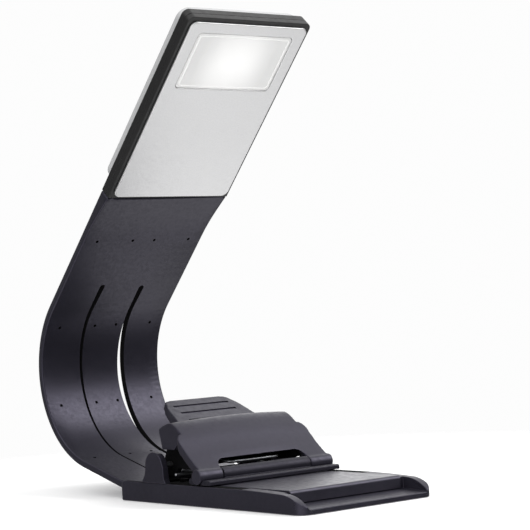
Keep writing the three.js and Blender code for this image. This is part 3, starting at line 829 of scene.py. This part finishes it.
def build_housing():
    outline = rounded(-HOUSING_HALF_W, HOUSING_HALF_W, HOUSING_LOW, HOUSING_HIGH, 5)
    shell = prism("housing", outline, HOUSING_REAR, HOUSING_FRONT, place=HEAD_PLACE)
    soften(shell, 0.8, 5, 50)
    half = HOUSING_HALF_W - HOUSING_WALL
    hollow = rounded(-half, half, HOUSING_LOW + HOUSING_WALL, HOUSING_HIGH - HOUSING_WALL, 3.8)
    cut(shell, prism("hollow", hollow, HOUSING_REAR + 1, -3, place=HEAD_PLACE))
    cut(shell, prism("hole", circle(0, BUTTON_S, BUTTON_HOLE_R, 64), -12, -5, place=HEAD_PLACE))
    shade(shell, 30)
    shell.name = "back_shell"
    finish_piece(shell, "head", HOUSING_ALU, "aluminium", "rear_housing")


def build_button():
    centre = (0, BUTTON_S, 0)
    cap = [(0, -9.72), (2.6, -9.76), (4.4, -9.88), (4.95, -10), (5.25, -9.92), (5.4, -9.7),
           (5.4, -8.2), (6.5, -8.2), (6.5, -7.6), (1.5, -7.6), (1.5, -7.1), (0, -7.1)]
    button = lathe("touch_button", cap, centre, (0, 0, 1), 96, HEAD_PLACE)
    shade(button, 30)
    finish_piece(button, "button", BUTTON_METAL, "button_metal", "button_cap")
    ring = [(5.7, -9.45), (8.2, -9.45), (8.15, -9.7), (7.8, -9.83), (6.6, -9.86), (6.0, -9.8),
            (5.72, -9.6), (5.7, -9.45)]
    bezel = lathe("button_bezel", ring, centre, (0, 0, 1), 96, HEAD_PLACE)
    shade(bezel, 30)
    finish_piece(bezel, "head", BUTTON_METAL, "button_metal", "button_ring")


# ---------- base ----------

def tray_side():
    """Side profile (y, z) of the base, with its walls sweeping down to a thin front lip."""
    front, rear = tray_low.y, tray_high.y
    nose = smooth_line([(front + 35, 7.9), (front + 23, 7.65), (front + 12, 7.2), (front + 9.2, 6.9),
                        (front + 6.5, 6.2), (front + 3.8, 5.0), (front + 1.4, 3.5), (front + 0.3, 2.3)], 5)
    return [(front, 0), (rear, 0)] + arc(rear - 4.3, 3.6, 4.3, 0, 90, 8) + nose + [(front, 1.7)]


def ear_outline():
    """Side outline (y, z) of an ear: round over the axle, flaring into the wall below."""
    y, z, r = PIVOT.y, PIVOT.z, EAR_R
    rear = [(y + r + 4.6, 6.6), (y + r + 3.2, 7.8), (y + r + 1.9, 9.2), (y + r + 0.8, 11.0),
            (y + r + 0.15, 13.0)]
    front = [(y - r - 0.6, 14.2), (y - r - 0.7, 11.0), (y - r - 0.8, 9.6), (y - r - 1.4, 8.5),
             (y - r - 2.5, 7.6), (y - r - 2.9, 6.6)]
    return smooth_line(rear, 4) + arc(y, z, r, 0, 165, 26) + smooth_line(front, 4)


def in_shaded_base_pocket(at):
    """True inside the tray behind the deck, where shade is painted."""
    return abs(at.x) < 31.2 and 14.6 < at.y < 60 and 1 < at.z < 8.4


def build_base():
    w = tray_high.x
    plan = rounded(-w, w, tray_low.y, tray_high.y, (5, 5, 3, 3), 12)
    tray = prism("tray", plan, 0, 12)
    combine(tray, prism("side", tray_side(), -40, 40, "x"), "INTERSECT")
    step = pad_low.y - 0.1
    cut(tray, block("recess", -28.3, 28.3, step - 0.1, 14.4, 4.2, 20))
    lip = [(step + 1, 20), (step + 1, 2.8), (-60, 1.8), (-60, 20)]
    cut(tray, prism("lip", lip, -LIP_X, LIP_X, "x"))
    cut(tray, block("pocket", -28.9, 28.9, 23.5, 41.5, POCKET_FLOOR, 20))
    cut(tray, block("channel", -31.35, 31.35, 41, 60, POCKET_FLOOR, 20))
    for side in (-1, 1):
        join(tray, prism("ear", ear_outline(), *beside(side, *EAR_X), "x"))
    hole = circle(PIVOT.y, PIVOT.z, AXLE_HOLE_R)
    cut(tray, prism("axle_hole", hole, -AXLE_REACH - 0.1, AXLE_REACH + 0.1, "x"))
    soften(tray, 0.35, 3, 40)
    tray.name = "base_body"
    finish_piece(tray, "base", CHARCOAL_BASE_SHADED, "charcoal_plastic", "base_tray")
    # painted shade: the pocket behind the deck gets the near-black material
    add_material(tray, PAINTED_SHADE_INSIDE, in_shaded_base_pocket)


def build_deck():
    """The raised deck, whose rounded nose hangs over the front lip."""
    front, rear, top = pad_low.y, pad_high.y, pad_high.z
    side = [(rear, 4.4), (rear, top)]
    side += arc(front + DECK_NOSE_R, top - DECK_NOSE_R, DECK_NOSE_R, 90, 180, 12)
    side += [(front, 3.0), (front + 0.8, 3.0), (front + 0.8, 4.4)]
    deck = prism("deck", side[::-1], -DECK_HALF_W, DECK_HALF_W, "x")
    soften(deck, 0.3, 3, 40)
    finish_piece(deck, "base", DECK, "grip_rubber", "base_pad")


def build_axle_and_pins():
    for name, radius, at, half, body, node in (
            ("jaw_axle", AXLE_R, PIVOT, AXLE_REACH, "base", "clip_axle"),
            ("hinge_pin", FOOT_PIN_R, FOOT_AXIS, FOOT_PIN_REACH, "jaw", "foot_pin")):
        profile = [(0, -half), (radius * 0.6, -half), (radius * 0.92, -half + 0.12), (radius, -half + 0.4),
                   (radius, half - 0.4), (radius * 0.92, half - 0.12), (radius * 0.6, half), (0, half)]
        pin = lathe(name, profile, at, (1, 0, 0), 32)
        shade(pin, 40)
        finish_piece(pin, body, STEEL, "steel", node)


def build_clamp_flange():
    """A fold behind the springs, at the rear of the clamp plate. A guess, in the looks only: a dark sheet
    coloured with painted shade.
    """
    side = [(36.9, 6.95), (40.1, 6.95), (40.1, 10.1), (39.7, 10.5), (38.9, 10.5), (38.9, 8.6),
            (38.3, 8.0), (36.9, 8.0)]
    flange = prism("clamp_flange", side, -24, 24, "x")
    soften(flange, 0.15, 3, 40)
    finish_piece(flange, "base", PAINTED_SHADE_STEEL, "steel")


# ---------- springs ----------

def coil(start_x, turns, pitch, radius, start):
    """Points along a coil round the clip's axle, 28 to a turn."""
    points = []
    for i in range(int(turns * 28) + 1):
        a = math.radians(start) - 2 * math.pi * i / 28
        points.append((start_x + pitch * i / 28, PIVOT.y + radius * math.cos(a),
                       PIVOT.z + radius * math.sin(a)))
    return points


def build_springs():
    leg = [(-29, 24, 11), (-25, 24, 11), (-21.6, 24, 11), (-20.4, 24.3, 11), (-19.4, 25.2, 11.02),
           (-18.9, 26.6, 11.1), (-18.65, 29, 11.3)]
    left = leg + coil(-18.6, 5, 1.55, 2.95, -90)
    spring = tube("spring_coil_left", left, WIRE_R)
    finish_piece(spring, "base", STEEL, "steel", "spring_left")
    right = [(-x, y, z) for x, y, z in left]
    spring = tube("spring_coil_right", right, WIRE_R)
    finish_piece(spring, "base", STEEL, "steel", "spring_right")
    half = [(-13, 28.5, 19.6), (-13, 24, 18.6), (-13, 19, 17.4), (-13, 15, 16.3), (-13, 12.9, 15.7),
            (-12.7, 11.6, 15.35), (-12.1, 10.9, 15.18), (-11.2, 10.5, 15.1), (-10, 10.4, 15.1),
            (-6, 10.4, 15.1)]
    bar = half + [(-x, y, z) for x, y, z in reversed(half)]
    spring = tube("spring_bar", bar, WIRE_R)
    finish_piece(spring, "jaw", STEEL, "steel", "spring_crossbar")


# ---------- jaw and lever ----------

JAW_LINE = [(2.4, 13.4), (4.5, 14.8), (7, 16.7), (10, 19.2), (13, 22.0), (16, 25.0), (18.5, 27.2),
            (22, 29.8), (25.3, 31.1), (28.5, 30.6), (30.8, 29.8), (33, 28.6)]
PANEL_END = 6
CROWN = 1.2
LEVER_SIDE = [(26.9, -2.6), (26.2, -1.9), (25.2, -1.2), (22.4, -0.2), (20.5, 2), (19.4, 7),
              (18.3, 12), (17.2, 14.5)]


def crown(obj):
    """Lets the jaw's skin rise a little towards the middle."""
    for v in obj.data.vertices:
        x, y = v.co.x / MM, v.co.y / MM
        reach = min(1.0, max(0.0, (y - 3) / 6))
        v.co.z += CROWN * reach * max(0.0, 1 - (x / JAW_HALF_W) ** 2) * MM
    return obj


def skin_height(y):
    """Height of the jaw's skin line at y."""
    for (y0, z0), (y1, z1) in zip(JAW_LINE, JAW_LINE[1:]):
        if y <= y1:
            return z0 + (z1 - z0) * (y - y0) / (y1 - y0)
    return JAW_LINE[-1][1]


def jaw_strip(name, depth, first, last, x0, x1, slices):
    """A length of the jaw's skin, from one point of JAW_LINE to another, depth thick."""
    line = smooth_line(JAW_LINE[first:last + 1], 5)
    outline = offset_line(line, depth) + line[::-1]
    return crown(prism(name, outline, x0, x1, "x", slices))


def jaw_plan():
    """Plan outline (x, y): the wide front panel, stepping in to the hump between the ears."""
    corner_r, step_y = 2.8, 18.5
    right = arc(JAW_HALF_W - corner_r, step_y - corner_r, corner_r, 0, 90, 8)
    right += [(HUMP_X, step_y), (HUMP_X, 40)]
    return [(-JAW_HALF_W, -5), (JAW_HALF_W, -5)] + right + [(-x, y) for x, y in reversed(right)]


def skirt_outline():
    """Side outline (y, z) of the hump's end walls."""
    return [(31.1, 20.9), (31.7, 23.6), (32.4, 26), (32.9, 27.8), (32.4, 28.6), (30.6, 29.4), (28.4, 30.2),
            (25.3, 30.7), (22, 29.4), (18.5, 26.8), (17.6, 25.6), (20, 24), (23.5, 20.9)]


def arm_outline():
    """Side outline (y, z) of the jaw's inner arms, round over the axle."""
    return arc(PIVOT.y, PIVOT.z, 5, 200, 375, 18) + [
        (34.5, 22), (30, 29), (25.3, 30.4), (22, 29.1), (16, 24), (10, 18.2), (7, 15.8),
        (7.3, 13.2), (9.65, 14.1), (12, 13.6), (14, 12.8)]


def lever_outline(inset=0.0):
    """Plan outline (x, t) of the thumb lever: square tip, flaring into the hump."""
    side = smooth_line([(x - inset, t) for x, t in LEVER_SIDE], 5)
    tip = arc(13 - inset, 18.25 - 4 - inset, 4, 10, 90, 8)
    right = side + tip
    return right + [(-x, t) for x, t in reversed(right)]


def lever_place():
    """Where the thumb lever is drawn: rising to the rear from the top of the hump."""
    return Matrix.Translation((0, 31.1, 30.5)) @ Matrix.Rotation(math.radians(27), 4, "X")


def build_lever_solid():
    place = lever_place()
    lever = prism("lever", lever_outline(), -6, 0, place=place)
    below = [(-8, -5.8), (18.4, -2.3), (22, -2.3), (22, -12), (-8, -12)]
    cut(lever, prism("below", below, -40, 40, "x", place=place))
    cut(lever, prism("under", lever_outline(1.8), -12, -2.1, place=place))
    return lever


def slot_tool():
    """The opening over the foot's barrel, with round ends and a level upper edge."""
    face = rounded(-22.3, 22.3, 5, 16.4, (0.5, 0.5, 3.2, 3.2), 8)
    tool = prism("slot", face, -13, 5)
    for v in tool.data.vertices:
        x, z, y = v.co.x, v.co.y, -v.co.z
        lift = CROWN * max(0.0, 1 - (x / MM / JAW_HALF_W) ** 2) * MM if z > 10 * MM else 0
        v.co = Vector((x, y, z + lift))
    return tool


def in_shaded_jaw_hollow(at):
    """True under the jaw's skin, where shade is painted."""
    return abs(at.x) < 27.7 and at.y > 7.6 and at.z < skin_height(at.y) - 1


def build_jaw():
    jaw = jaw_strip("jaw", JAW_WALL, 0, len(JAW_LINE) - 1, -JAW_HALF_W, JAW_HALF_W, 44)
    combine(jaw, prism("plan", jaw_plan(), 0, 60), "INTERSECT")
    web = [(2.7, 12.6), (6.8, 12.2), (8.8, 15.4), (8, 17.0), (4.5, 14.4), (2.7, 13.3)]
    for side in (-1, 1):
        flange = jaw_strip("flange", FLANGE_DEPTH, 0, PANEL_END, *beside(side, *FLANGE_X), 2)
        combine(flange, prism("plan", jaw_plan(), 0, 60), "INTERSECT")
        join(jaw, flange)
        join(jaw, prism("skirt", skirt_outline(), *beside(side, *SKIRT_X), "x"))
        join(jaw, prism("arm", arm_outline(), *beside(side, *JAW_ARM_X), "x"))
        join(jaw, prism("web", web, *beside(side, KNUCKLE_X[0], JAW_HALF_W), "x"))
    rib = block("rib", -22.6, 22.6, 26.2, 28, 13, 30)
    for side in (-1, 1):
        x0, x1 = beside(side, 12, 14)
        cut(rib, block("notch", x0, x1, 25, 29, 17.6, 21.2))
    join(jaw, rib, build_lever_solid())
    cut(jaw, slot_tool())
    for side in (-1, 1):
        knuckle = circle(FOOT_AXIS.y, FOOT_AXIS.z, KNUCKLE_R)
        join(jaw, prism("knuckle", knuckle, *beside(side, *KNUCKLE_X), "x"))
    moulded(jaw, 0.3, 4)
    for t in (1.9, 7.7, 13.2):
        outline = rounded(t - 0.65, t + 0.65, -0.75, 2, (0.45, 0.45, 0.1, 0.1), 4)
        cut(jaw, prism("groove", outline, -14.2, 14.2, "x", place=lever_place()))
    for at, r, reach in ((PIVOT, AXLE_HOLE_R, 40), (FOOT_AXIS, FOOT_PIN_HOLE_R, FOOT_PIN_REACH + 0.1)):
        cut(jaw, prism("hole", circle(at.y, at.z, r), -reach, reach, "x"))
    shade(jaw, 50)
    jaw.name = "jaw_cover"
    finish_piece(jaw, "jaw", CHARCOAL, "charcoal_plastic", "jaw_shell", "thumb_lever")
    # painted shade: the hollow under the jaw's skin gets the near-black material
    add_material(jaw, PAINTED_SHADE_INSIDE, in_shaded_jaw_hollow)


def build_foot():
    side = [(-3.2, 8.3), (9.0, 8.4)] + arc(8.8, 9.6, 1.2, 300, 475, 12) + [
        (7.7, 10.25), (-2.6, 10.2), (-3.2, 9.8)]
    foot = prism("foot", side, -33.4, 33.4, "x")
    join(foot, prism("barrel", circle(FOOT_AXIS.y, FOOT_AXIS.z, KNUCKLE_R), -22.2, 22.2, "x"))
    for sign in (-1, 1):
        relief = circle(FOOT_AXIS.y, FOOT_AXIS.z, KNUCKLE_R + 0.3)
        cut(foot, prism("relief", relief, *beside(sign, 22.2, 36), "x"))
    cut(foot, block("grip_bed", -20.8, 20.8, -2, 9, 7, 8.95))
    soften(foot, 0.25, 3, 40)
    finish_piece(foot, "foot", FOOT_PLASTIC_SHADED, "charcoal_plastic", "foot_bar")
    foot.name = "foot_clamp"
    grip = block("foot_strip", -20.6, 20.6, -1.8, 8.8, 8.12, 8.85)
    for k in range(9):
        y = -0.8 + k * 1.1
        cut(grip, block("rib_gap", -25, 25, y, y + 0.45, 7.5, 8.4))
    soften(grip, 0.08, 2, 40)
    finish_piece(grip, "foot", RUBBER, "grip_rubber", "foot_grip")


# ---------- carried-over CAD nodes ----------

def dress(node, material, width=0.15):
    """A CAD node keeps its shape and gets a rounded edge and a material."""
    obj = frame["nodes"][node]
    weld = obj.modifiers.new("weld", "WELD")
    weld.merge_threshold = 1e-6
    flat = obj.modifiers.new("flat", "DECIMATE")
    flat.decimate_type = "DISSOLVE"
    flat.angle_limit = math.radians(3)
    edge = obj.modifiers.new("edge", "BEVEL")
    edge.width = width * MM
    edge.segments = 2
    edge.limit_method = "ANGLE"
    edge.angle_limit = math.radians(40)
    obj.data.materials.clear()
    obj.data.materials.append(material)


def dress_inner_pieces():
    dress("reflector_tray", WHITE)
    for node in ("led_board", "control_board"):
        dress(node, GREEN, 0.05)
    for number in range(1, 7):
        dress(f"led_{number}", PHOSPHOR, 0.1)
    dress("battery", FOIL, 0.5)
    dress("tact_switch", BLACK, 0.1)
    for node in ("board_screw_1", "board_screw_2", "usb_socket"):
        dress(node, STEEL, 0.12)
    # the root clamp and its screws get painted shade
    for node in ("root_clamp", "root_screw_1", "root_screw_2"):
        dress(node, PAINTED_SHADE_STEEL, 0.12)


# ---------- studio ----------

# soft light by direction: (towards, cosine where it starts, cosine where it is full, strength)
SOFT_LIGHT = (
    ((0, 0, 1), 0.3, 0.85, 0.98),
    ((0.64, 0.77, 0.05), 0.55, 0.97, 0.3),
    ((0.64, 0.75, 0.17), 0.92, 0.985, 1.4),
    ((0.64, 0.5, 0.58), 0.93, 0.99, 0.9),
    ((-0.64, 0.77, 0), 0.35, 1.0, 0.13),
    ((-1, -0.5, 0.3), 0.6, 0.95, 1.5),
    ((0.64, -0.5, 0.58), 0.89, 0.985, 4.8),
    ((0, 0, -1), 0.5, 0.85, 1.3),
)
DIM_SIDE = 0.055
PAPER_WHITE = 0.98


def build_floor():
    """White paper under the lamp, fading out before its edge."""
    bm = bmesh.new()
    bmesh.ops.create_circle(bm, cap_ends=True, segments=96, radius=900)
    floor = from_bmesh("studio_floor", bm, Matrix.Translation((0, 0, -0.2)))
    paper = Material("studio paper", (0.9, 0.9, 0.9), 0.9)
    tones = [(0.3, (0.89, 0.89, 0.89)), (0.7, (0.91, 0.91, 0.91))]
    paper.drive("Base Color", paper.ramp(paper.noise(30, 3), tones))
    paper.set("Specular IOR Level", 0.0)
    paper.set("Emission Color", (1, 1, 1, 1))
    paper.set("Emission Strength", 0.2)
    away = paper.nodes.new("ShaderNodeVectorMath")
    away.operation = "LENGTH"
    paper.links.new(paper.place, away.inputs[0])
    paper.drive("Alpha", paper.span(away.outputs["Value"], 1.0, 0.0, 0.13, 0.3))
    floor.data.materials.append(paper.made)
    floor.visible_glossy = False


def build_world():
    """Soft light by direction, behind a plain white backdrop."""
    world = bpy.data.worlds.new("studio")
    bpy.context.scene.world = world
    world.use_nodes = True
    nodes, links = world.node_tree.nodes, world.node_tree.links
    towards = nodes.new("ShaderNodeTexCoord").outputs["Generated"]
    total = None
    for axis, start, full, strength in SOFT_LIGHT:
        dot = nodes.new("ShaderNodeVectorMath")
        dot.operation = "DOT_PRODUCT"
        dot.inputs[1].default_value = Vector(axis).normalized()
        links.new(towards, dot.inputs[0])
        lobe = nodes.new("ShaderNodeMapRange")
        lobe.interpolation_type = "SMOOTHSTEP"
        lobe.inputs["From Min"].default_value = start
        lobe.inputs["From Max"].default_value = full
        lobe.inputs["To Max"].default_value = strength
        links.new(dot.outputs["Value"], lobe.inputs["Value"])
        add = nodes.new("ShaderNodeMath")
        add.operation = "ADD"
        add.inputs[1].default_value = DIM_SIDE
        links.new(lobe.outputs["Result"], add.inputs[0])
        if total:
            links.new(total, add.inputs[1])
        total = add.outputs[0]
    soft = nodes["Background"]
    links.new(total, soft.inputs["Strength"])
    soft.inputs["Color"].default_value = (1, 1, 1, 1)
    paper = nodes.new("ShaderNodeBackground")
    paper.inputs["Color"].default_value = (1, 1, 1, 1)
    paper.inputs["Strength"].default_value = PAPER_WHITE
    choose = nodes.new("ShaderNodeMixShader")
    links.new(nodes.new("ShaderNodeLightPath").outputs["Is Camera Ray"], choose.inputs["Fac"])
    links.new(soft.outputs["Background"], choose.inputs[1])
    links.new(paper.outputs["Background"], choose.inputs[2])
    links.new(choose.outputs["Shader"], nodes["World Output"].inputs["Surface"])


def build_camera():
    """Seen from the front left, almost level, with a long lens."""
    heading, rise, roll = math.radians(50.31), math.radians(0.69), math.radians(-3.01)
    ahead = Vector((math.cos(rise) * math.cos(heading), math.cos(rise) * math.sin(heading), math.sin(rise)))
    right = ahead.cross(Vector((0, 0, 1))).normalized()
    up = right.cross(ahead)
    turned_right = right * math.cos(roll) + up * math.sin(roll)
    turned_up = up * math.cos(roll) - right * math.sin(roll)
    data = bpy.data.cameras.new("camera")
    data.sensor_width = 36
    data.lens = 129.2
    data.clip_start = 0.01
    camera = bpy.data.objects.new("camera", data)
    turn = Matrix((turned_right, turned_up, -ahead)).transposed()
    camera.matrix_world = Matrix.Translation((-0.4786, -0.5796, 0.0829)) @ turn.to_4x4()
    bpy.context.scene.collection.objects.link(camera)
    bpy.context.scene.camera = camera


build_camera()
build_floor()
build_world()
build_ribbon()
build_light_face()
build_head_frames()
build_housing()
build_button()
build_base()
build_deck()
build_axle_and_pins()
build_clamp_flange()
build_springs()
build_jaw()
build_foot()
dress_inner_pieces()
bpy.context.scene.view_settings.view_transform = "Standard"
